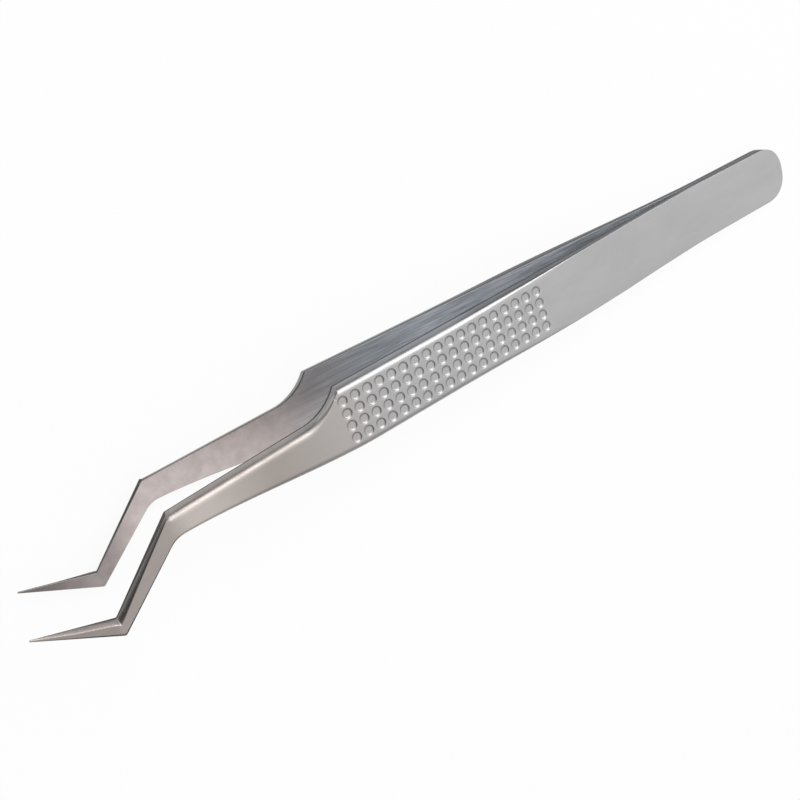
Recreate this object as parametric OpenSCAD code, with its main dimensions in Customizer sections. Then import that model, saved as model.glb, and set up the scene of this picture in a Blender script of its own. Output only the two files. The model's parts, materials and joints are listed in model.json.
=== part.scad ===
// Fine-point curved tweezers: two mirrored strips of stainless steel, spot welded at the butt.
// Each arm is thin and springy behind the handle, carries a grid of pressed grip dimples,
// narrows at a shoulder to a slim neck, bends down into a leg and back up into a needle tip.
// The rear arm is drawn along X from the butt, with Y down the blade and Z across the gap.
// The front arm is its mirror image, and both are then tilted so that the tweezers lie on
// a table on the butt end and the lower shoulder.

/* [Butt and joint] */
// Width of the handle
handle_w = 10; // [9.6:0.1:10.4]
// Length of the rounded butt end
butt_l = 4.6; // [4:0.1:5.5]
// Height of the lower edge at the butt end, below the middle of the handle
butt_bottom = 4.28; // [4:0.02:4.8]
// Length over which the two arms lie on each other and are welded
joined_l = 19.8; // [18:0.2:22]
// Thickness of one arm at the butt and through the spring
spring_t = 1.1; // [0.9:0.05:1.3]
// Distance of each spot weld from the butt end
weld_x = [6, 13];
// Diameter of a spot weld
weld_d = 3.2; // [2:0.1:5]
// Depth to which a weld reaches into each arm
weld_depth = 0.5; // [0.3:0.05:0.7]

/* [Handle] */
// Distance from the butt end to the shoulder corner
shoulder_x = 91.2; // [91:0.1:92]
// Thickness of one arm in the handle and the neck
handle_t = 2.1; // [1.9:0.05:2.4]
// Length from the joint to where the handle has its full thickness and runs straight
thickening_l = 39; // [34:1:42]
// Slope of the straight handle against the middle plane
splay = 0.0668; // [0.064:0.0002:0.07]
// Radius of the rounded outer edges of the handle
handle_round = 1.15; // [0.7:0.05:1.3]

/* [Grip dimples] */
// Number of dimples along the handle
dimple_columns = 18; // [10:1:18]
// Number of dimples across the handle
dimple_rows = 4; // [2:1:4]
// Distance from the butt end to the first column, next to the shoulder
dimple_x = 91.04; // [90.8:0.02:91.1]
// Height of the first row below the middle of the handle
dimple_y = -2.93; // [-3:0.01:-2.7]
// Pitch of the columns
dimple_pitch_x = 2.09; // [2:0.01:2.1]
// Pitch of the rows
dimple_pitch_y = 1.95; // [1.85:0.01:2]
// Diameter of a dimple
dimple_d = 1.6; // [1:0.05:1.75]
// Depth of a dimple
dimple_depth = 0.2; // [0.1:0.02:0.3]
// Hollow along the middle of the grip's outer face, so that it rests on its two long edges
grip_hollow = 0.02; // [0.01:0.01:0.04]

/* [Neck] */
// Radius of the concave cut from the shoulder down to the neck
shoulder_r = 8.6; // [8:0.2:10]
// Height of the neck's top edge where the shoulder cut ends
neck_top = -1.82; // [-2.2:0.02:-1.8]
// Corner of the top edge at the bend
bend_top = [119.2, -1.05];
// Corner of the bottom edge at the bend
bend_bottom = [119.4, 2.55];
// Place along the handle where the bottom edge starts to rise
taper_x = 87; // [85:0.5:88]
// Radius of the rounded outer edges of the neck
neck_round = 1.35; // [1:0.05:1.5]

/* [Leg and tip] */
// Inner corner of the heel, on the top edge
heel_top = [130.65, 8.6];
// Outer corner of the heel, on the bottom edge
heel_bottom = [130.55, 11.15];
// Point of the needle tip
tip = [141, 5.5];
// Width of the blunted point
tip_w = 0.22; // [0.15:0.01:0.4]
// Thickness of the blunted point
tip_t = 0.2; // [0.15:0.01:0.4]
// Thickness at the bend
bend_t = 1.85; // [1.7:0.05:2]
// Thickness at the heel
heel_t = 1.5; // [1.3:0.05:1.7]
// Width of the bevel along the top of the leg
leg_bevel = 1.05; // [0.8:0.05:1.2]
// Width of the bevel along the bottom of the leg
leg_edge = 0.5; // [0.3:0.05:0.7]

/* [Hidden] */
$fn = 48;
top_y = -handle_w / 2;
full_bottom_x = 37.8;
butt_power = 2.4;
edge_break = 0.08;
rounding_x = [20, 50];
thin_end = 26;
straight_x = joined_l + thickening_l;
handle_xs = [joined_l, 22, 25, 28, 31, 34, 37, 40, 43, 46, 49, 52, 55, straight_x, taper_x, 89];
arc_steps = 8;
neck_steps = 6;
corner_steps = 3;
corner_r = [0.4, 0.6];
round_steps = [5, 3];

// Blends between two values, straight or eased at both ends
function mix(a, b, u) = a + (b - a) * u;
function part(x, a, b) = max(0, min(1, (x - a) / (b - a)));
function ease(u) = u * u * (3 - 2 * u);

// Outline of the handle and the neck, as heights above and below at x
shoulder_drop = neck_top - top_y;
shoulder_end = shoulder_x + sqrt(pow(shoulder_r, 2) - pow(shoulder_r - shoulder_drop, 2));
function shoulder_y(x) = neck_top - shoulder_r + sqrt(pow(shoulder_r, 2) - pow(shoulder_end - x, 2));
function neck_y(x) = mix(neck_top, bend_top[1], part(x, shoulder_end, bend_top[0]));
function upper(x) = x <= shoulder_x ? top_y : x < shoulder_end ? shoulder_y(x) : neck_y(x);
function lower(x) = mix(
    mix(butt_bottom, handle_w / 2, part(x, butt_l, full_bottom_x)),
    bend_bottom[1], ease(part(x, taper_x, bend_bottom[0])));

// Half the gap between the arms, which stays the same beyond the heel. The spring curves back
// just enough for the outer face of the straight handle to lie in line with the butt's lower edge
curl = (splay * joined_l - handle_t + spring_t) / pow(thickening_l, 2);
function half_gap(x) =
    let (u = max(0, min(x, heel_top[0]) - joined_l), v = min(u, thickening_l))
    v * (splay + curl * (2 * thickening_l - v)) + (u - v) * splay;
function thickness(x) = mix(
    mix(spring_t, handle_t, ease(part(x, thin_end, straight_x))),
    bend_t, part(x, shoulder_end, bend_top[0]));
function edge_round(x) = mix(
    mix(edge_break, handle_round, ease(part(x, rounding_x[0], rounding_x[1]))),
    neck_round, part(x, shoulder_x, shoulder_end));

function hollow(x) = grip_hollow * part(x, rounding_x[1], straight_x)
    * (1 - part(x, shoulder_x, shoulder_end));

// A corner at b between a and c, rounded to radius r
function unit(v) = v / norm(v);
function rounded(a, b, c, r, n) =
    let (u = unit(a - b), v = unit(c - b), half = acos(u * v) / 2, reach = r / tan(half))
    [for (i = [0:n]) let (w = i / n)
        b + reach * (pow(1 - w, 2) * u + w * w * v)];

// Stations along the arm: upper point, lower point, thickness, roundings and how flat they are
function station(x) =
    [[x, upper(x)], [x, lower(x)], thickness(x), edge_round(x), edge_round(x), 0];
neck_xs = [for (i = [0:neck_steps]) mix(shoulder_end, bend_top[0] - 1.5, i / neck_steps)];
arc_xs = [for (i = [0:arc_steps - 1]) mix(shoulder_x, shoulder_end, pow(i / arc_steps, 1.3))];
straight_stations = [for (x = concat(handle_xs, arc_xs, neck_xs)) station(x)];

neck_end = [for (side = [0, 1]) straight_stations[len(straight_stations) - 1][side]];
tip_dir = unit(tip - (heel_top + heel_bottom) / 2);
tip_side = [-tip_dir[1], tip_dir[0]] * tip_w / 2;
tip_top = tip - tip_side;
tip_bottom = tip + tip_side;
bend_upper = rounded(neck_end[0], bend_top, heel_top, corner_r[0], corner_steps);
bend_lower = rounded(neck_end[1], bend_bottom, heel_bottom, corner_r[1], corner_steps);
heel_upper = rounded(bend_top, heel_top, tip_top, corner_r[0], corner_steps);
heel_lower = rounded(bend_bottom, heel_bottom, tip_bottom, corner_r[0], corner_steps);
bend_stations = [for (i = [0:corner_steps])
    [bend_upper[i], bend_lower[i], bend_t, mix(neck_round, leg_bevel, i / corner_steps),
     mix(neck_round, leg_edge, i / corner_steps), i / corner_steps]];
heel_stations = [for (i = [0:corner_steps])
    [heel_upper[i], heel_lower[i], heel_t, leg_bevel, leg_edge, 1]];
tip_station = [tip_top, tip_bottom, tip_t, tip_w * 0.45, tip_w * 0.25, 1];
stations = concat(straight_stations, bend_stations, heel_stations, [tip_station]);

// One cross-section: flat inside, rounded or bevelled outside
function curve(w, flat) = mix([1 - cos(90 * w), sin(90 * w)], [w, w], flat);
function section(s) =
    let (width = norm(s[1] - s[0]), along = (s[1] - s[0]) / width,
         depth = min(s[3], s[2] - 2 * edge_break),
         outer_low = [for (i = [0:round_steps[1]]) let (c = curve(i / round_steps[1], s[5]))
             [width - s[4] * c[0], s[2] - s[4] * (1 - c[1])]],
         outer_middle = [(s[3] + width - s[4]) / 2, s[2] - hollow(s[0][0])],
         outer_top = [for (i = [0:round_steps[0]]) let (c = curve(1 - i / round_steps[0], s[5]))
             [s[3] * c[0], s[2] - depth * (1 - c[1])]])
    [for (q = concat([[0, 0], [width, 0]], outer_low, [outer_middle], outer_top))
        let (p = s[0] + along * q[0]) [p[0], p[1], -half_gap(p[0]) - q[1]]];

ring = 2 + round_steps[0] + 1 + 1 + round_steps[1] + 1;
last = len(stations) - 1;
arm_points = [for (s = stations) each section(s)];
arm_faces = concat(
    [[for (j = [ring - 1:-1:0]) j]],
    [for (i = [0:last - 1], j = [0:ring - 1]) let (k = (j + 1) % ring)
        [i * ring + k, (i + 1) * ring + k, (i + 1) * ring + j, i * ring + j]],
    [[for (j = [0:ring - 1]) last * ring + j]]);

// Lying on a table: the butt end and the lowest place of the outer face touch it
rest_slope = max([for (s = stations) (half_gap(s[0][0]) + s[2] - spring_t) / s[0][0]]);
tilt = atan(rest_slope);
function tilted(p) = [p[0] * cos(tilt) - p[2] * sin(tilt), p[1], p[0] * sin(tilt) + p[2] * cos(tilt)];
rear_points = [for (p = arm_points) tilted(p)];
reach = [-spring_t * sin(tilt), max([for (p = rear_points) p[0]])];
drop = [top_y, max([for (p = rear_points) p[1]])];
origin = [(reach[0] + reach[1]) / 2, (drop[0] + drop[1]) / 2, -spring_t * cos(tilt)];
module placed() {
    translate(-origin) rotate([0, -tilt, 0]) children();
}

// The butt end is a squarish oval
module tang_outline() {
    centre_y = (top_y + butt_bottom) / 2;
    polygon(concat(
        [for (a = [-90:7.5:90])
            [butt_l * (1 - pow(cos(a), 2 / butt_power)),
             centre_y + sign(a) * (butt_bottom - centre_y) * pow(abs(sin(a)), 2 / butt_power)]],
        [[joined_l, lower(joined_l)], [joined_l, top_y]]));
}

module weld(x, depth) {
    translate([x, 0, -depth]) cylinder(d = weld_d, h = 2 * depth);
}

module tang() {
    difference() {
        translate([0, 0, -spring_t]) linear_extrude(spring_t) tang_outline();
        for (x = weld_x) weld(x, weld_depth);
    }
}

// A dimple is a shallow cap of a large ball pressed into the outer face
dimple_ball = (pow(dimple_d / 2, 2) + pow(dimple_depth, 2)) / (2 * dimple_depth);
module dimples() {
    for (i = [0:dimple_columns - 1], j = [0:dimple_rows - 1]) {
        x = dimple_x - i * dimple_pitch_x;
        y = dimple_y + j * dimple_pitch_y;
        flat_y = handle_w / 2 - handle_round;
        face = half_gap(x) + thickness(x) - hollow(x) * (1 - part(abs(y), 0, flat_y));
        translate([x, y, -face - dimple_ball + dimple_depth])
            sphere(r = dimple_ball, $fn = 32);
    }
}

module arm() {
    difference() {
        polyhedron(arm_points, arm_faces);
        dimples();
    }
}

module mirrored() {
    mirror([0, 0, 1]) children();
}

module front_tang() { color("#b9babb") placed() mirrored() tang(); }
module rear_tang() { color("#b9babb") placed() tang(); }
module spot_welds() { color("#8d8a86") placed() for (x = weld_x) weld(x, weld_depth); }
module front_arm() { color("#b4b2b0") placed() mirrored() arm(); }
module rear_arm() { color("#8f9399") placed() arm(); }

front_tang();
rear_tang();
spot_welds();
front_arm();
rear_arm();
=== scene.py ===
import json
import math

import bpy
from mathutils import Matrix, Vector


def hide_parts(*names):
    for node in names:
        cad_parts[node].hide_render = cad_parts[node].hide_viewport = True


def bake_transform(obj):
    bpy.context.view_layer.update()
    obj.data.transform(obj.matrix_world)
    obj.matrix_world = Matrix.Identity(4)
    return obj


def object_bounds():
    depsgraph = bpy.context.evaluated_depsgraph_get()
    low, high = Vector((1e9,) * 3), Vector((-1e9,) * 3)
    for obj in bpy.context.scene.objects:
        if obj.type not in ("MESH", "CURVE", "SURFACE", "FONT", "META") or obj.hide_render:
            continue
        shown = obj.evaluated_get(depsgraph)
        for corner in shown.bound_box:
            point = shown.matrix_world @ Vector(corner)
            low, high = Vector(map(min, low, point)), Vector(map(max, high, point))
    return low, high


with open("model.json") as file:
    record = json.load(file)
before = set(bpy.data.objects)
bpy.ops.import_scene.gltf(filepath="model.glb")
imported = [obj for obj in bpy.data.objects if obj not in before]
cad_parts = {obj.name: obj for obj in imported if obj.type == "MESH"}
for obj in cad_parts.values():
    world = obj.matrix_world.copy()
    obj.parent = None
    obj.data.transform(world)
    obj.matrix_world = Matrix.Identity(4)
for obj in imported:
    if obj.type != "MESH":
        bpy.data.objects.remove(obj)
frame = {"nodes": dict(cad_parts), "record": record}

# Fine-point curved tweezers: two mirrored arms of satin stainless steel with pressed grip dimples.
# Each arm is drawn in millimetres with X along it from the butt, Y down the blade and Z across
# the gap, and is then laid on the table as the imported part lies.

cad_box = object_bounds()
MM = 0.001

# Places taken from the frame: the line where the arms part, and their lean on the table
record = frame["record"]
hinge = Vector(record["behaviour"]["joints"][0]["pos_m"])
lean = math.asin(record["mounts"][0]["axis"][0])


# Colour and node helpers

def colour(code):
    """A hex sRGB colour as the linear one that a shader takes."""
    parts = [int(code[i:i + 2], 16) / 255 for i in (1, 3, 5)]
    return tuple(c / 12.92 if c <= 0.04045 else ((c + 0.055) / 1.055) ** 2.4 for c in parts) + (1,)


def add(tree, kind, inputs=None, **settings):
    """Adds a node with its settings, and its inputs as values or links, by name or number."""
    node = tree.nodes.new(kind)
    for name, value in settings.items():
        setattr(node, name, value)
    for name, value in (inputs or {}).items():
        if isinstance(value, bpy.types.NodeSocket):
            tree.links.new(value, node.inputs[name])
        else:
            node.inputs[name].default_value = value
    return node


# Camera at the photograph's viewing angle
scene = bpy.context.scene
FOCAL_SHARE = 972.4 / 800
camera = bpy.data.objects.new("camera", bpy.data.cameras.new("camera"))
camera.data.sensor_width = 36
camera.data.lens = 36 * FOCAL_SHARE
camera.data.clip_start = 0.01
camera.location = (0.046029, -0.054940, 0.137663)
camera.rotation_euler = [math.radians(a) for a in (-15.5074, -22.3358, 159.0215)]
scene.collection.objects.link(camera)
scene.camera = camera
scene.view_settings.view_transform = "Standard"


# Outline of an arm in millimetres: that of the solids, with finer cuts along its edges and a
# rounder bend
HANDLE_W = 10
TOP = -HANDLE_W / 2
BUTT_L, BUTT_BOTTOM, BUTT_POWER = 4.6, 4.28, 2.4
# The arms lie on each other as far as JOINED_L, and part softly on both sides of it
JOINED_L, PARTING = 19.8, 2
FULL_BOTTOM_X = 37.8
SPRING_T, HANDLE_T, BEND_T, HEEL_T = 1.1, 2.1, 1.85, 1.5
# From where to where the strip thickens, and its edges grow round
THICKENING, ROUNDING = (26, 58.8), (43, 74)
STRAIGHT_X = THICKENING[1]
EDGE_BREAK, HANDLE_ROUND, NECK_ROUND, LEG_ROUND = 0.08, 1.15, 1.35, 0.5
SPLAY = 0.0668
CURL = (SPLAY * JOINED_L - HANDLE_T + SPRING_T) / (STRAIGHT_X - JOINED_L) ** 2
GRIP_HOLLOW, HOLLOW_X = 0.02, 50
SHOULDER_X, SHOULDER_R, NECK_TOP = 91.2, 8.6, -1.82
# Width and depth of the cut along the shoulder's outer edge
SHOULDER_CUT = (0.3, 0.9)
TAPER_X = 87
# Upper and lower corner of the bend and of the heel, and how round they are
BEND, BEND_R = (Vector((119.2, -1.05)), Vector((119.4, 2.55))), (0.4, 4.0)
HEEL, HEEL_R = (Vector((130.65, 8.6)), Vector((130.55, 11.15))), 0.4
TIP, TIP_W, TIP_T = Vector((141, 5.5)), 0.22, 0.2
# Bevel at the bend, before the heel, behind it and halfway along the needle, and shares of the
# point's width that its two edges are cut by
BEVELS, POINT_CUTS = (0.5, 1.0, 0.6, 0.55), (0.45, 0.25)
# A cut is a quarter round at 0 and a flat bevel at 1, whose worn ridge takes a share of it
LEG_FLAT, TIP_FLAT, RIDGE_SHARE = 0.5, 0.85, 0.3
# Shares of the top rounding that take the wall's darker steel as painted shade, and of the lower
# rounding where it is a quarter round and where it is flat
TOP_SHADED, LOW_SHADED = {"handle": 0.5, "leg": 0.85, "tip": 0.1}, (0.5, 1.3)
# Height of the painted shade line over the inner face, the most of a wall's height that it takes, and
# the share of that height at which the ground part has a line
SHADE_LINE_H, SHADE_LINE_SHARE, GROUND_SHARE = 0.6, 0.5, 0.6

# Grip dimples in millimetres, with the flat floor's share of their radius
COLUMNS, ROWS = 18, 4
FIRST = Vector((91.04, -2.93))
PITCH = Vector((2.09, 1.95))
DIMPLE_D, DIMPLE_DEPTH, DIMPLE_LIP, DIMPLE_FLOOR = 1.6, 0.2, 0.05, 0.68

# Fineness of the mesh: the angles at which the butt end is cut, the steps across the outer face,
# a rounding, a wall and the inner face, round a corner and along the leg and half the needle, and
# the coarse and fine steps along the rest in millimetres
BUTT_ANGLES = (6, 10, 15, 20, 26, 32, 38, 45, 52, 58, 64, 70, 75, 80, 85)
TILE_STEPS = 16
FACE_STEPS = TILE_STEPS * ROWS
ROUND_STEPS, WALL_STEPS, INNER_STEPS = 10, 2, 6
CORNER_STEPS, LEG_STEPS, NEEDLE_STEPS = 10, 10, 7
COARSE, FINE = 0.9, 0.2
# Stretch over which the face's lines swing to the rows of dimples, the least width that is left
# for the top rounding, and how far before the bend the neck's square sections end
ROW_SWING, LEAST_ROUND, BEND_ROOM = 5, 0.12, 1.5
# An edge that turns by more than this many degrees shows as a sharp one
SHARP_ANGLE = 32


def mix(a, b, u):
    return a + (b - a) * u


def part(x, a, b):
    return max(0.0, min(1.0, (x - a) / (b - a)))


def ease(u):
    return u * u * (3 - 2 * u)


shoulder_end = SHOULDER_X + math.sqrt(SHOULDER_R ** 2 - (SHOULDER_R - NECK_TOP + TOP) ** 2)
shoulder_centre = Vector((shoulder_end, NECK_TOP - SHOULDER_R))
grip_x = (FIRST.x - (COLUMNS - 0.5) * PITCH.x, FIRST.x + 0.5 * PITCH.x)
grip_y = (FIRST.y - 0.5 * PITCH.y, FIRST.y + (ROWS - 0.5) * PITCH.y)


def upper(x):
    """Height of the top edge: straight handle, concave shoulder, slim neck."""
    if x <= SHOULDER_X:
        return TOP
    if x < shoulder_end:
        return NECK_TOP - SHOULDER_R + math.sqrt(SHOULDER_R ** 2 - (shoulder_end - x) ** 2)
    return mix(NECK_TOP, BEND[0].y, part(x, shoulder_end, BEND[0].x))


def lower(x):
    """Height of the bottom edge, which widens from the butt and rises towards the bend."""
    full = mix(BUTT_BOTTOM, HANDLE_W / 2, part(x, BUTT_L, FULL_BOTTOM_X))
    return mix(full, BEND[1].y, ease(part(x, TAPER_X, BEND[1].x)))


def half_gap(x):
    """Half the gap: the arms part softly, the spring curves back, the handle runs straight, and
    the splay ends at the heel."""
    length = STRAIGHT_X - JOINED_L
    begun = part(x, JOINED_L - PARTING, JOINED_L + PARTING)
    if begun < 1:
        return (SPLAY + 2 * CURL * length) * PARTING * begun ** 2
    u = max(0, min(x, HEEL[0].x) - JOINED_L)
    v = min(u, length)
    return v * (SPLAY + CURL * (2 * length - v)) + (u - v) * SPLAY


def thickness(x):
    grown = mix(SPRING_T, HANDLE_T, ease(part(x, *THICKENING)))
    return mix(grown, BEND_T, part(x, shoulder_end, BEND[0].x))


def edge_round(x):
    grown = mix(EDGE_BREAK, HANDLE_ROUND, ease(part(x, *ROUNDING)))
    return mix(grown, NECK_ROUND, part(x, SHOULDER_X, shoulder_end))


def hollow(x):
    """How far the grip's outer face is dished at its middle."""
    return GRIP_HOLLOW * part(x, HOLLOW_X, STRAIGHT_X) * (1 - part(x, SHOULDER_X, shoulder_end))


class Station:
    """A cross-section: its two edge points, its thickness and how its outer edges are cut."""

    def __init__(self, top, bottom, thick, round_top, round_low, flat=0.0, depth=None):
        self.top, self.bottom, self.thick = Vector(top), Vector(bottom), thick
        self.round_top, self.round_low, self.flat = round_top, round_low, flat
        self.depth = min(round_top, thick - 2 * EDGE_BREAK) if depth is None else depth

    def towards(self, other, u):
        values = [mix(getattr(self, n), getattr(other, n), u) for n in
                  ("top", "bottom", "thick", "round_top", "round_low", "flat", "depth")]
        return Station(*values)


def butt_station(angle):
    """The butt end is a squarish oval, angle degrees round from its tip."""
    a = math.radians(angle)
    x = BUTT_L * (1 - math.cos(a) ** (2 / BUTT_POWER))
    half = (BUTT_BOTTOM - TOP) / 2 * math.sin(a) ** (2 / BUTT_POWER)
    middle = (TOP + BUTT_BOTTOM) / 2
    return Station((x, middle - half), (x, middle + half), SPRING_T, EDGE_BREAK, EDGE_BREAK)


def straight_station(x):
    """A section square to the handle, whose lower rounding fades along the neck."""
    low = mix(edge_round(x), LEG_ROUND, part(x, SHOULDER_X, BEND[0].x))
    return Station((x, upper(x)), (x, lower(x)), thickness(x), edge_round(x), low)


def rounded(before, corner, after, radius):
    """Points round a corner, from the straight before it to the straight after."""
    u, v = (before - corner).normalized(), (after - corner).normalized()
    reach = radius / math.tan(math.acos(u.dot(v)) / 2)
    steps = [i / CORNER_STEPS for i in range(CORNER_STEPS + 1)]
    return [corner + reach * ((1 - w) ** 2 * u + w * w * v) for w in steps]


def spaced(a, b, step):
    """Numbers from a up to but not including b, about step apart."""
    n = max(1, round((b - a) / step))
    return [mix(a, b, i / n) for i in range(n)]


def all_stations():
    """Every cross-section from the butt end to the point."""
    neck_end = BEND[0].x - BEND_ROOM
    xs = (spaced(BUTT_L, grip_x[0], COARSE) + spaced(*grip_x, PITCH.x / TILE_STEPS)
          + spaced(grip_x[1], shoulder_end, FINE) + spaced(shoulder_end, neck_end, COARSE)
          + [neck_end])
    out = [butt_station(a) for a in BUTT_ANGLES] + [straight_station(x) for x in xs]
    neck = out[-1]
    # Round the bend the neck's rounding becomes the leg's bevel
    bend = zip(rounded(neck.top, BEND[0], HEEL[0], BEND_R[0]),
               rounded(neck.bottom, BEND[1], HEEL[1], BEND_R[1]))
    for i, (a, b) in enumerate(bend):
        w = i / CORNER_STEPS
        out.append(Station(a, b, BEND_T, mix(NECK_ROUND, BEVELS[0], w), LEG_ROUND, LEG_FLAT * w))
    # Round the heel it narrows to the needle's flat bevel
    along = (TIP - (HEEL[0] + HEEL[1]) / 2).normalized()
    tip_side = Vector((-along.y, along.x)) * TIP_W / 2
    heel_points = zip(rounded(BEND[0], HEEL[0], TIP - tip_side, HEEL_R),
                      rounded(BEND[1], HEEL[1], TIP + tip_side, HEEL_R))
    heel = [Station(a, b, HEEL_T, mix(*BEVELS[1:3], i / CORNER_STEPS), LEG_ROUND,
                    mix(LEG_FLAT, TIP_FLAT, i / CORNER_STEPS))
            for i, (a, b) in enumerate(heel_points)]
    leg_start = out[-1]
    out += [leg_start.towards(heel[0], k / LEG_STEPS) for k in range(1, LEG_STEPS)] + heel
    point = Station(TIP - tip_side, TIP + tip_side, TIP_T, *(TIP_W * c for c in POINT_CUTS), TIP_FLAT)
    halfway = heel[-1].towards(point, 0.5)
    halfway.round_top = halfway.depth = BEVELS[3]
    for start, end in ((heel[-1], halfway), (halfway, point)):
        out += [start.towards(end, k / NEEDLE_STEPS) for k in range(1, NEEDLE_STEPS + 1)]
    return out


def fall(e, reach, depth, flat=0):
    """How far the outer face drops at e from an edge: a quarter round, or a bevel whose ridge is
    a little worn."""
    w = 1 - part(e, 0, reach)
    bevel = w * w / (2 * RIDGE_SHARE) if w < RIDGE_SHARE else w - RIDGE_SHARE / 2
    return depth * mix(1 - math.sqrt(1 - w * w), bevel / (1 - RIDGE_SHARE / 2), flat)


def ring(s):
    """One cross-section as (distance from the top edge, distance out of the inner face, zone).
    Over the grip the lines of the outer face follow the rows of dimples."""
    width, x = (s.bottom - s.top).length, s.top.x
    on_rows = ease(part(x, grip_x[0] - ROW_SWING, grip_x[0]))
    on_rows *= 1 - ease(part(x, grip_x[1], grip_x[1] + ROW_SWING))
    first = max(LEAST_ROUND, mix(s.round_top, grip_y[0] - s.top.y, on_rows))
    final = mix(width - s.round_low, grip_y[1] - s.top.y, on_rows)
    through = ease(part(x, SHOULDER_X, shoulder_end))
    cut_width, cut_depth = mix(SHOULDER_CUT[0], NECK_ROUND, through), mix(SHOULDER_CUT[1], s.depth, through)
    stretch = "handle" if not s.flat else "leg" if s.flat <= LEG_FLAT else "tip"
    # Along the leg the walls take the painted shade steel
    wall = "shade_line" if stretch == "leg" else "wall"

    def out(e):
        """How far the outer face stands from the inner one, at e from the top edge."""
        drop = 0 if SHOULDER_X < x < shoulder_end else fall(e, s.round_top, s.depth, s.flat)
        if x < shoulder_end:
            from_cut = (Vector((x, s.top.y + e)) - shoulder_centre).length - SHOULDER_R
            drop = max(drop, fall(max(0, from_cut), cut_width, cut_depth))
        from_middle = abs(2 * part(e, s.round_top, width - s.round_low) - 1)
        dish = hollow(x) * (1 - from_middle)
        return s.thick - drop - fall(width - e, s.round_low, s.round_low) - dish

    def rounding(reach):
        """Steps of a rounding from its wall, as (how far round, distance from the edge)."""
        turns = [i / ROUND_STEPS for i in range(1, ROUND_STEPS)]
        return [(t, reach * (1 - math.cos(t * math.pi / 2))) for t in turns]

    inner = [(mix(EDGE_BREAK, width - EDGE_BREAK, k / INNER_STEPS), 0, "inner")
             for k in range(INNER_STEPS + 1)]
    low_wall = [(width, mix(EDGE_BREAK, s.thick - s.round_low, k / WALL_STEPS), wall)
                for k in range(WALL_STEPS + 1)]
    # Parts of both roundings take the darker wall steel as painted shade
    low_round = [(width - e, out(width - e), wall if t < mix(*LOW_SHADED, s.flat) else "face")
                 for t, e in rounding(min(s.round_low, width - final))]
    face = [(e, out(e), "face") for e in
            (mix(final, first, k / FACE_STEPS) for k in range(FACE_STEPS + 1))]
    top_round = [(e, out(e), "wall" if t < TOP_SHADED[stretch] else "face")
                 for t, e in reversed(rounding(min(s.round_top, first)))]
    height = out(0)
    # The lowest band of the top wall takes the painted shade line
    top_wall = [(0, height, wall), (0, mix(EDGE_BREAK, height, GROUND_SHARE), wall),
                (0, min(SHADE_LINE_H, mix(EDGE_BREAK, height, SHADE_LINE_SHARE)), "shade_line"),
                (0, EDGE_BREAK, "shade_line")]
    return inner + low_wall + low_round + face + top_round + top_wall


def arm_mesh(name):
    """The rear arm's whole skin, with the zones and slopes that its finish and grip need."""
    stations = all_stations()
    rings = [ring(s) for s in stations]
    count = len(rings[0])
    points, faces, zones = [], [], []
    for s, r in zip(stations, rings):
        along = (s.bottom - s.top).normalized()
        for e, out, zone in r:
            p = s.top + along * e
            points.append(Vector((p.x, p.y, -half_gap(p.x) - out)) * MM)
    for i in range(len(rings) - 1):
        for j in range(count):
            k = (j + 1) % count
            faces.append((i * count + k, (i + 1) * count + k, (i + 1) * count + j, i * count + j))
            zones.append((rings[i][j][2], rings[i][k][2]))
    last = (len(rings) - 1) * count
    faces += [tuple(range(count - 1, -1, -1)), tuple(range(last, last + count))]
    zones += [("wall", "wall")] * 2
    mesh = bpy.data.meshes.new(name)
    mesh.from_pydata(points, [], faces)
    mesh.shade_smooth()

    # The slope of the outer face along the arm, read at the middle of each ring
    slopes, middle = [], INNER_STEPS + WALL_STEPS + ROUND_STEPS + FACE_STEPS // 2
    for i in range(len(rings)):
        a, b = max(0, i - 1), min(len(rings) - 1, i + 1)
        run = points[b * count + middle] - points[a * count + middle]
        slopes += [run.z / run.x if run.x > 1e-7 else 0, 0, 0] * count

    def mark(label, kind, domain, field, values):
        mesh.attributes.new(label, kind, domain).data.foreach_set(field, values)

    mark("wall", "BOOLEAN", "FACE", "value", ["wall" in pair for pair in zones])
    mark("painted_shade_edge", "BOOLEAN", "FACE", "value", [pair == ("shade_line", "shade_line") for pair in zones])
    mark("inner_face", "BOOLEAN", "FACE", "value", [pair == ("inner", "inner") for pair in zones])
    mark("outer_face", "BOOLEAN", "POINT", "value", [zone == "face" for r in rings for _, _, zone in r])
    mark("slope", "FLOAT_VECTOR", "POINT", "vector", slopes)
    return mesh


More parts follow.
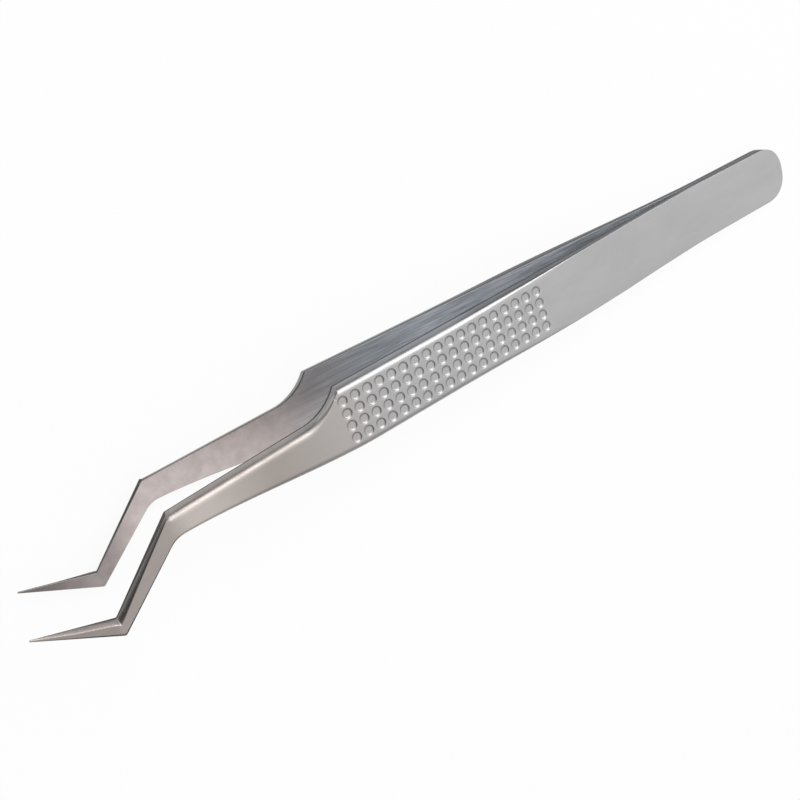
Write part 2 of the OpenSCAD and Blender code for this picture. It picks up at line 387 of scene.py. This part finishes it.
# Pressed dimples: each tile of the face's grid is drawn into rings and pushed in
def dimple_tree():
    tree = bpy.data.node_groups.new("pressed_grip_dimples", "GeometryNodeTree")
    sockets = {"Arm": "Geometry", "First Dimple": "Vector", "Pitch": "Vector",
               "Columns and Rows": "Vector", "Diameter": "Float", "Depth": "Float", "Lip": "Float",
               "Floor Share": "Float", "Last Ring": "Float", "Face Steel": "Material",
               "Edge Steel": "Material", "Painted Shade Steel": "Material", "Inner Steel": "Material"}
    for name, kind in sockets.items():
        tree.interface.new_socket(name=name, in_out="INPUT", socket_type=f"NodeSocket{kind}")
    tree.interface.new_socket(name="Arm", in_out="OUTPUT", socket_type="NodeSocketGeometry")
    given = add(tree, "NodeGroupInput").outputs

    # Which dimple a point belongs to, and where it lies from that dimple's middle
    place = add(tree, "GeometryNodeInputPosition").outputs[0]
    from_first = add(tree, "ShaderNodeVectorMath", {0: place, 1: given["First Dimple"]},
                     operation="SUBTRACT").outputs[0]
    cell = add(tree, "ShaderNodeVectorMath", {0: from_first, 1: given["Pitch"]},
               operation="DIVIDE").outputs[0]
    raised = add(tree, "ShaderNodeVectorMath", {0: cell, 1: (0.5, 0.5, 0.5)},
                 operation="ADD").outputs[0]
    nearest = add(tree, "ShaderNodeVectorMath", {0: raised}, operation="FLOOR").outputs[0]
    off = add(tree, "ShaderNodeVectorMath", {0: cell, 1: nearest}, operation="SUBTRACT").outputs[0]
    from_middle = add(tree, "ShaderNodeVectorMath", {0: off, 1: given["Pitch"]},
                      operation="MULTIPLY").outputs[0]
    sides = add(tree, "ShaderNodeVectorMath", {0: off}, operation="ABSOLUTE").outputs[0]
    sides = add(tree, "ShaderNodeSeparateXYZ", {0: sides}).outputs
    larger = add(tree, "ShaderNodeMath", {0: sides["X"], 1: sides["Y"]}, operation="MAXIMUM").outputs[0]
    tile_share = add(tree, "ShaderNodeMath", {0: larger, 1: 2.0}, operation="MULTIPLY").outputs[0]

    # The square rings of the grid become round ones, closer together near the lip
    ring_share = add(tree, "ShaderNodeMath", {0: tile_share, 1: given["Last Ring"]},
                     operation="DIVIDE").outputs[0]
    turn = add(tree, "ShaderNodeMath", {0: ring_share, 1: math.pi / 2}, operation="MULTIPLY").outputs[0]
    turned = add(tree, "ShaderNodeMath", {0: turn}, operation="SINE").outputs[0]
    lip_radius = add(tree, "ShaderNodeMath", {0: given["Diameter"], 1: 0.5, 2: given["Lip"]},
                     operation="MULTIPLY_ADD").outputs[0]
    radius = add(tree, "ShaderNodeMath", {0: turned, 1: lip_radius}, operation="MULTIPLY").outputs[0]
    direction = add(tree, "ShaderNodeVectorMath", {0: from_middle}, operation="NORMALIZE").outputs[0]
    target = add(tree, "ShaderNodeVectorMath", {0: direction, "Scale": radius},
                 operation="SCALE").outputs[0]
    shift = add(tree, "ShaderNodeVectorMath", {0: target, 1: from_middle},
                operation="SUBTRACT").outputs[0]

    # The push in: full over the floor, easing out to nothing at the lip, and along the sloped face
    floor_radius = add(tree, "ShaderNodeMath", {0: lip_radius, 1: given["Floor Share"]},
                       operation="MULTIPLY").outputs[0]
    push = add(tree, "ShaderNodeMapRange", {
        "Value": radius, "From Min": floor_radius, "From Max": lip_radius,
        "To Min": given["Depth"], "To Max": 0.0}, interpolation_type="SMOOTHSTEP").outputs[0]
    slope = add(tree, "GeometryNodeInputNamedAttribute", {"Name": "slope"},
                data_type="FLOAT_VECTOR").outputs["Attribute"]
    climb = add(tree, "ShaderNodeVectorMath", {0: shift, 1: slope},
                operation="DOT_PRODUCT").outputs["Value"]
    height = add(tree, "ShaderNodeMath", {0: climb, 1: push}, operation="ADD").outputs[0]
    lift = add(tree, "ShaderNodeCombineXYZ", {"Z": height}).outputs[0]
    offset = add(tree, "ShaderNodeVectorMath", {0: shift, 1: lift}, operation="ADD").outputs[0]

    # Only whole rings of the outer face move, and only within the columns and rows
    wrapped = add(tree, "ShaderNodeVectorMath", {0: nearest, 1: given["Columns and Rows"]},
                  operation="WRAP").outputs[0]
    outside = add(tree, "ShaderNodeVectorMath", {0: nearest, 1: wrapped},
                  operation="DISTANCE").outputs["Value"]
    inside = add(tree, "ShaderNodeMath", {0: outside, 1: 0.5}, operation="LESS_THAN").outputs[0]
    ring_limit = add(tree, "ShaderNodeMath", {0: given["Last Ring"], 1: 0.01},
                     operation="ADD").outputs[0]
    ringed = add(tree, "ShaderNodeMath", {0: tile_share, 1: ring_limit},
                 operation="LESS_THAN").outputs[0]
    outer = add(tree, "GeometryNodeInputNamedAttribute", {"Name": "outer_face"},
                data_type="BOOLEAN").outputs["Attribute"]
    in_grip = add(tree, "ShaderNodeMath", {0: inside, 1: ringed}, operation="MULTIPLY").outputs[0]
    chosen = add(tree, "ShaderNodeMath", {0: in_grip, 1: outer}, operation="MULTIPLY").outputs[0]
    pressed = add(tree, "GeometryNodeSetPosition", {
        "Geometry": given["Arm"], "Selection": chosen, "Offset": offset}).outputs[0]

    # The finishes: satin outside, ground and partly darkened with painted shade on the walls, a painted
    # shade line along the inner edges and over the leg's walls, lapped inside
    solid = add(tree, "GeometryNodeRealizeInstances", {"Geometry": pressed}).outputs[0]
    solid = add(tree, "GeometryNodeSetMaterial",
                {"Geometry": solid, "Material": given["Face Steel"]}).outputs[0]
    for label, steel in (("wall", "Edge Steel"), ("painted_shade_edge", "Painted Shade Steel"),
                         ("inner_face", "Inner Steel")):
        zone = add(tree, "GeometryNodeInputNamedAttribute", {"Name": label},
                   data_type="BOOLEAN").outputs["Attribute"]
        solid = add(tree, "GeometryNodeSetMaterial", {
            "Geometry": solid, "Selection": zone, "Material": given[steel]}).outputs[0]
    add(tree, "NodeGroupOutput", {"Arm": solid})
    return tree


# Length and width of a brush line in millimetres, and its depth. Real ones are some 0.05 mm wide,
# and are drawn coarser so that they show
BRUSH, BRUSH_DEPTH = (20 / 3, 0.2), 0.02
# Size of the heat and handling clouds, and the stretch over which cool steel turns warm
CLOUD, WARMING = 2, (12, 30)


# Satin stainless steel, finely brushed along the arm: the metal mirrors softly. The handle is cool
# with lengthwise streaks, and from the shoulder on it is warmer with faint clouds
def satin_steel(name, cool, warm, tones, rough, mottle, streak):
    """Steel from a cool to a warm colour. Each tone, painted light or shade, is (from X, to X in
    millimetres, share of the colour that is left from there on), and streak is the length and width of a
    mark."""
    material = bpy.data.materials.new(name)
    material.use_nodes = True
    tree = material.node_tree
    shader = tree.nodes["Principled BSDF"]
    shader.inputs["Metallic"].default_value = 1
    where = add(tree, "ShaderNodeTexCoord").outputs["Object"]
    along = add(tree, "ShaderNodeSeparateXYZ", {0: where}).outputs["X"]
    grains = []
    for (long, wide), detail, harsh in ((BRUSH, 3.0, 0.5), (streak, 4.0, 0.6)):
        laid = add(tree, "ShaderNodeMapping", {
            "Vector": where, "Rotation": (0, lean, 0),
            "Scale": (1 / (long * MM), 1 / (wide * MM), 1 / (wide * MM))}).outputs[0]
        grains.append(add(tree, "ShaderNodeTexNoise", {
            "Vector": laid, "Scale": 1.0, "Detail": detail, "Roughness": harsh}).outputs[0])
    brushed, streaks = grains
    clouds = add(tree, "ShaderNodeTexNoise", {"Vector": where, "Scale": 1 / (CLOUD * MM),
                                              "Detail": 5.0, "Roughness": 0.6}).outputs[0]
    faint = add(tree, "ShaderNodeMapRange", {"Value": clouds, "To Min": 0.38,
                                             "To Max": 0.7}).outputs[0]
    warmth = add(tree, "ShaderNodeMapRange", {"Value": along, "From Min": WARMING[0] * MM,
                                              "From Max": WARMING[1] * MM}).outputs[0]
    marks = add(tree, "ShaderNodeMix", {0: warmth, 2: streaks, 3: faint}).outputs[0]
    base = add(tree, "ShaderNodeMix", {0: warmth, 6: colour(cool), 7: colour(warm)},
               data_type="RGBA").outputs[2]
    shade = add(tree, "ShaderNodeMapRange", {"Value": marks, "From Min": 0.35, "From Max": 0.65,
                                             "To Min": 1 - mottle, "To Max": 1.0}).outputs[0]
    # Painted light and shade: each tone lightens or darkens the colour along the arm
    for start, end, share in tones:
        tone = add(tree, "ShaderNodeMapRange", {"Value": along, "From Min": start * MM,
                                                "From Max": end * MM, "To Min": 1.0,
                                                "To Max": share}).outputs[0]
        shade = add(tree, "ShaderNodeMath", {0: shade, 1: tone}, operation="MULTIPLY").outputs[0]
    tint = add(tree, "ShaderNodeVectorMath", {0: base, "Scale": shade}, operation="SCALE").outputs[0]
    tree.links.new(tint, shader.inputs["Base Color"])
    gloss = add(tree, "ShaderNodeMapRange", {"Value": brushed, "From Min": 0.3, "From Max": 0.7,
                                             "To Min": rough - 0.05, "To Max": rough + 0.05})
    tree.links.new(gloss.outputs[0], shader.inputs["Roughness"])
    bump = add(tree, "ShaderNodeBump", {"Height": brushed, "Strength": 0.15,
                                        "Distance": BRUSH_DEPTH * MM})
    tree.links.new(bump.outputs[0], shader.inputs["Normal"])
    return material


# The outer faces: satin, with hardly a mark. Their tones are painted light and shade, with a painted
# highlight along the neck before the bend
face_steel = satin_steel("satin_brushed_stainless", "#b5b4b5", "#b1a9a4",
                         [(22, 32, 0.9), (33, 43, 1.43), (45.5, 48.5, 0.7), (59, 61, 1.1)],
                         0.42, 0.06, (12, 3))
# The edges: ground, darker than the faces partly from the grinding and partly as painted shade.
# Their tones are painted light and shade: dull along the spring, bright along grip and neck, darker along
# the leg
edge_steel = satin_steel("ground_and_shaded_stainless_edge", "#686a6e", "#676361",
                         [(-14, 2, 2.3), (20.2, 21, 1.05), (26, 30, 1.2), (47, 49, 0.45),
                          (50, 56, 1.25), (59.6, 60.4, 0.81)], 0.42, 0.25, (6, 1))
# Painted shade: a dark, duller line along each inner edge where the gap's shadow falls, and over the leg's
# whole wall
painted_shade_steel = satin_steel("painted_shade_stainless_edge", "#505256", "#4a4644",
                            [(47.5, 50.5, 0.3), (59.6, 60.4, 3)], 0.5, 0.3, (4, 1))
# The inner faces: lapped lengthwise in long streaks. Their tones are painted light and shade: darker along
# the grip, brighter along the neck and darker towards the tip
inner_steel = satin_steel("lapped_stainless_inside", "#f0f4f9", "#f7ebe8",
                          [(0, 10, 0.8), (12, 21, 0.84), (26, 47, 1.25), (52, 58, 0.58),
                           (61, 67, 0.55)], 0.4, 0.45, (7, 0.3))
# The spot welds: fused metal, grey and matt
weld_steel = satin_steel("fused_weld_steel", "#8a8784", "#8a8784", [], 0.6, 0.2, (1, 1))

# The arm blank with its pressed grip
blank = bpy.data.objects.new("arm_blank", arm_mesh("arm_blank"))
scene.collection.objects.link(blank)
modifier = blank.modifiers.new("pressed_grip", "NODES")
modifier.node_group = dimple_tree()
choices = {"First Dimple": (FIRST.x * MM, FIRST.y * MM, 0.0),
           "Pitch": (-PITCH.x * MM, PITCH.y * MM, 0.0),
           "Columns and Rows": (float(COLUMNS), float(ROWS), 1.0), "Diameter": DIMPLE_D * MM,
           "Depth": DIMPLE_DEPTH * MM, "Lip": DIMPLE_LIP * MM, "Floor Share": DIMPLE_FLOOR,
           "Last Ring": 1 - 2 / TILE_STEPS, "Face Steel": face_steel, "Edge Steel": edge_steel,
           "Painted Shade Steel": painted_shade_steel, "Inner Steel": inner_steel}
for socket in modifier.node_group.interface.items_tree:
    if socket.in_out == "INPUT" and socket.name in choices:
        modifier[socket.identifier] = choices[socket.name]
made = bpy.data.meshes.new_from_object(blank.evaluated_get(bpy.context.evaluated_depsgraph_get()))
bpy.data.objects.remove(blank)
made.set_sharp_from_angle(angle=math.radians(SHARP_ANGLE))

# The two arms, mirrored across the gap and laid on the table
placing = (Matrix.Translation(hinge) @ Matrix.Rotation(-lean, 4, "Y")
           @ Matrix.Translation((-JOINED_L * MM, 0, 0)))
for side in ("rear", "front"):
    mesh = made.copy()
    mesh.name = f"{side}_arm_skin"
    if side == "front":
        mesh.transform(Matrix.Scale(-1, 4, (0, 0, 1)))
        mesh.flip_normals()
    mesh.transform(placing)
    arm = bpy.data.objects.new(f"{side}_arm_skin", mesh)
    scene.collection.objects.link(arm)
    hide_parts(f"{side}_tang", f"{side}_arm")
    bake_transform(arm)

welds = frame["nodes"]["spot_welds"]
welds.data.materials.clear()
welds.data.materials.append(weld_steel)

# White floor, which the camera and the metal see as white with the tweezers' shadow on it. It
# reaches far enough in metres to fill the view, just under what lies on it
FLOOR_REACH, FLOOR_GAP = 1.5, 0.00002
floor_mesh = bpy.data.meshes.new("floor")
corners = [(x * FLOOR_REACH, y * FLOOR_REACH, 0) for x, y in ((-1, -1), (1, -1), (1, 1), (-1, 1))]
floor_mesh.from_pydata(corners, [], [(0, 1, 2, 3)])
floor = bpy.data.objects.new("floor", floor_mesh)
floor.location.z = cad_box[0].z - FLOOR_GAP
scene.collection.objects.link(floor)
paper = bpy.data.materials.new("white_paper_floor")
paper.use_nodes = True
tree = paper.node_tree
tree.nodes.remove(tree.nodes["Principled BSDF"])
plain = add(tree, "ShaderNodeBsdfDiffuse", {"Color": colour("#f4f4f4")}).outputs[0]
white = add(tree, "ShaderNodeEmission", {"Color": colour("#ffffff"), "Strength": 1.0}).outputs[0]
mostly_white = add(tree, "ShaderNodeMixShader", {0: 0.92, 1: plain, 2: white}).outputs[0]
rays = add(tree, "ShaderNodeLightPath").outputs
seen = add(tree, "ShaderNodeMath", {0: rays["Is Camera Ray"], 1: rays["Is Glossy Ray"]},
           operation="MAXIMUM").outputs[0]
seen = add(tree, "ShaderNodeMath", {0: seen, 1: rays["Is Transmission Ray"]},
           operation="MAXIMUM").outputs[0]
tree.links.new(add(tree, "ShaderNodeMixShader", {0: seen, 1: plain, 2: mostly_white}).outputs[0],
               tree.nodes["Material Output"].inputs["Surface"])
floor_mesh.materials.append(paper)

# Soft studio light: a dome that is dark at the horizon and beyond the tips, and a reflector
# behind the butt
world = bpy.data.worlds.new("studio")
scene.world = world
world.use_nodes = True
tree = world.node_tree
facing = add(tree, "ShaderNodeSeparateXYZ", {
    0: add(tree, "ShaderNodeTexCoord").outputs["Generated"]}).outputs
before_tips = add(tree, "ShaderNodeMapRange", {"Value": facing["X"], "From Min": 0.05,
                                               "From Max": 0.65, "To Min": 1.0, "To Max": 0.15},
                  interpolation_type="SMOOTHSTEP").outputs[0]
high = add(tree, "ShaderNodeMapRange", {"Value": facing["Z"], "From Min": 0.05, "From Max": 0.75,
                                        "To Min": 0.15, "To Max": 1.0},
           interpolation_type="SMOOTHSTEP").outputs[0]
dome = add(tree, "ShaderNodeMath", {0: high, 1: before_tips}, operation="MULTIPLY").outputs[0]
reflector = add(tree, "ShaderNodeMapRange", {"Value": facing["X"], "From Min": -0.95,
                                             "From Max": -0.6, "To Min": 0.5, "To Max": 0.0},
                interpolation_type="SMOOTHSTEP").outputs[0]
level = add(tree, "ShaderNodeMath", {0: dome, 1: reflector}, operation="ADD").outputs[0]
tree.links.new(level, tree.nodes["Background"].inputs["Strength"])
tree.nodes["Background"].inputs["Color"].default_value = colour("#ffffff")

# A wide soft box overhead, turned to the tweezers, in metres and watts
OVERHEAD, BOX_DISTANCE, BOX_SIZE, BOX_POWER = Vector((-0.45, -0.50, 0.74)), 0.6, (0.5, 0.24), 1.6
lamp = bpy.data.lights.new("overhead_box", "AREA")
lamp.shape, lamp.size, lamp.size_y, lamp.energy = "RECTANGLE", *BOX_SIZE, BOX_POWER
box = bpy.data.objects.new("overhead_box", lamp)
box.location = OVERHEAD.normalized() * BOX_DISTANCE
box.rotation_euler = OVERHEAD.to_track_quat("Z", "Y").to_euler()
scene.collection.objects.link(box)
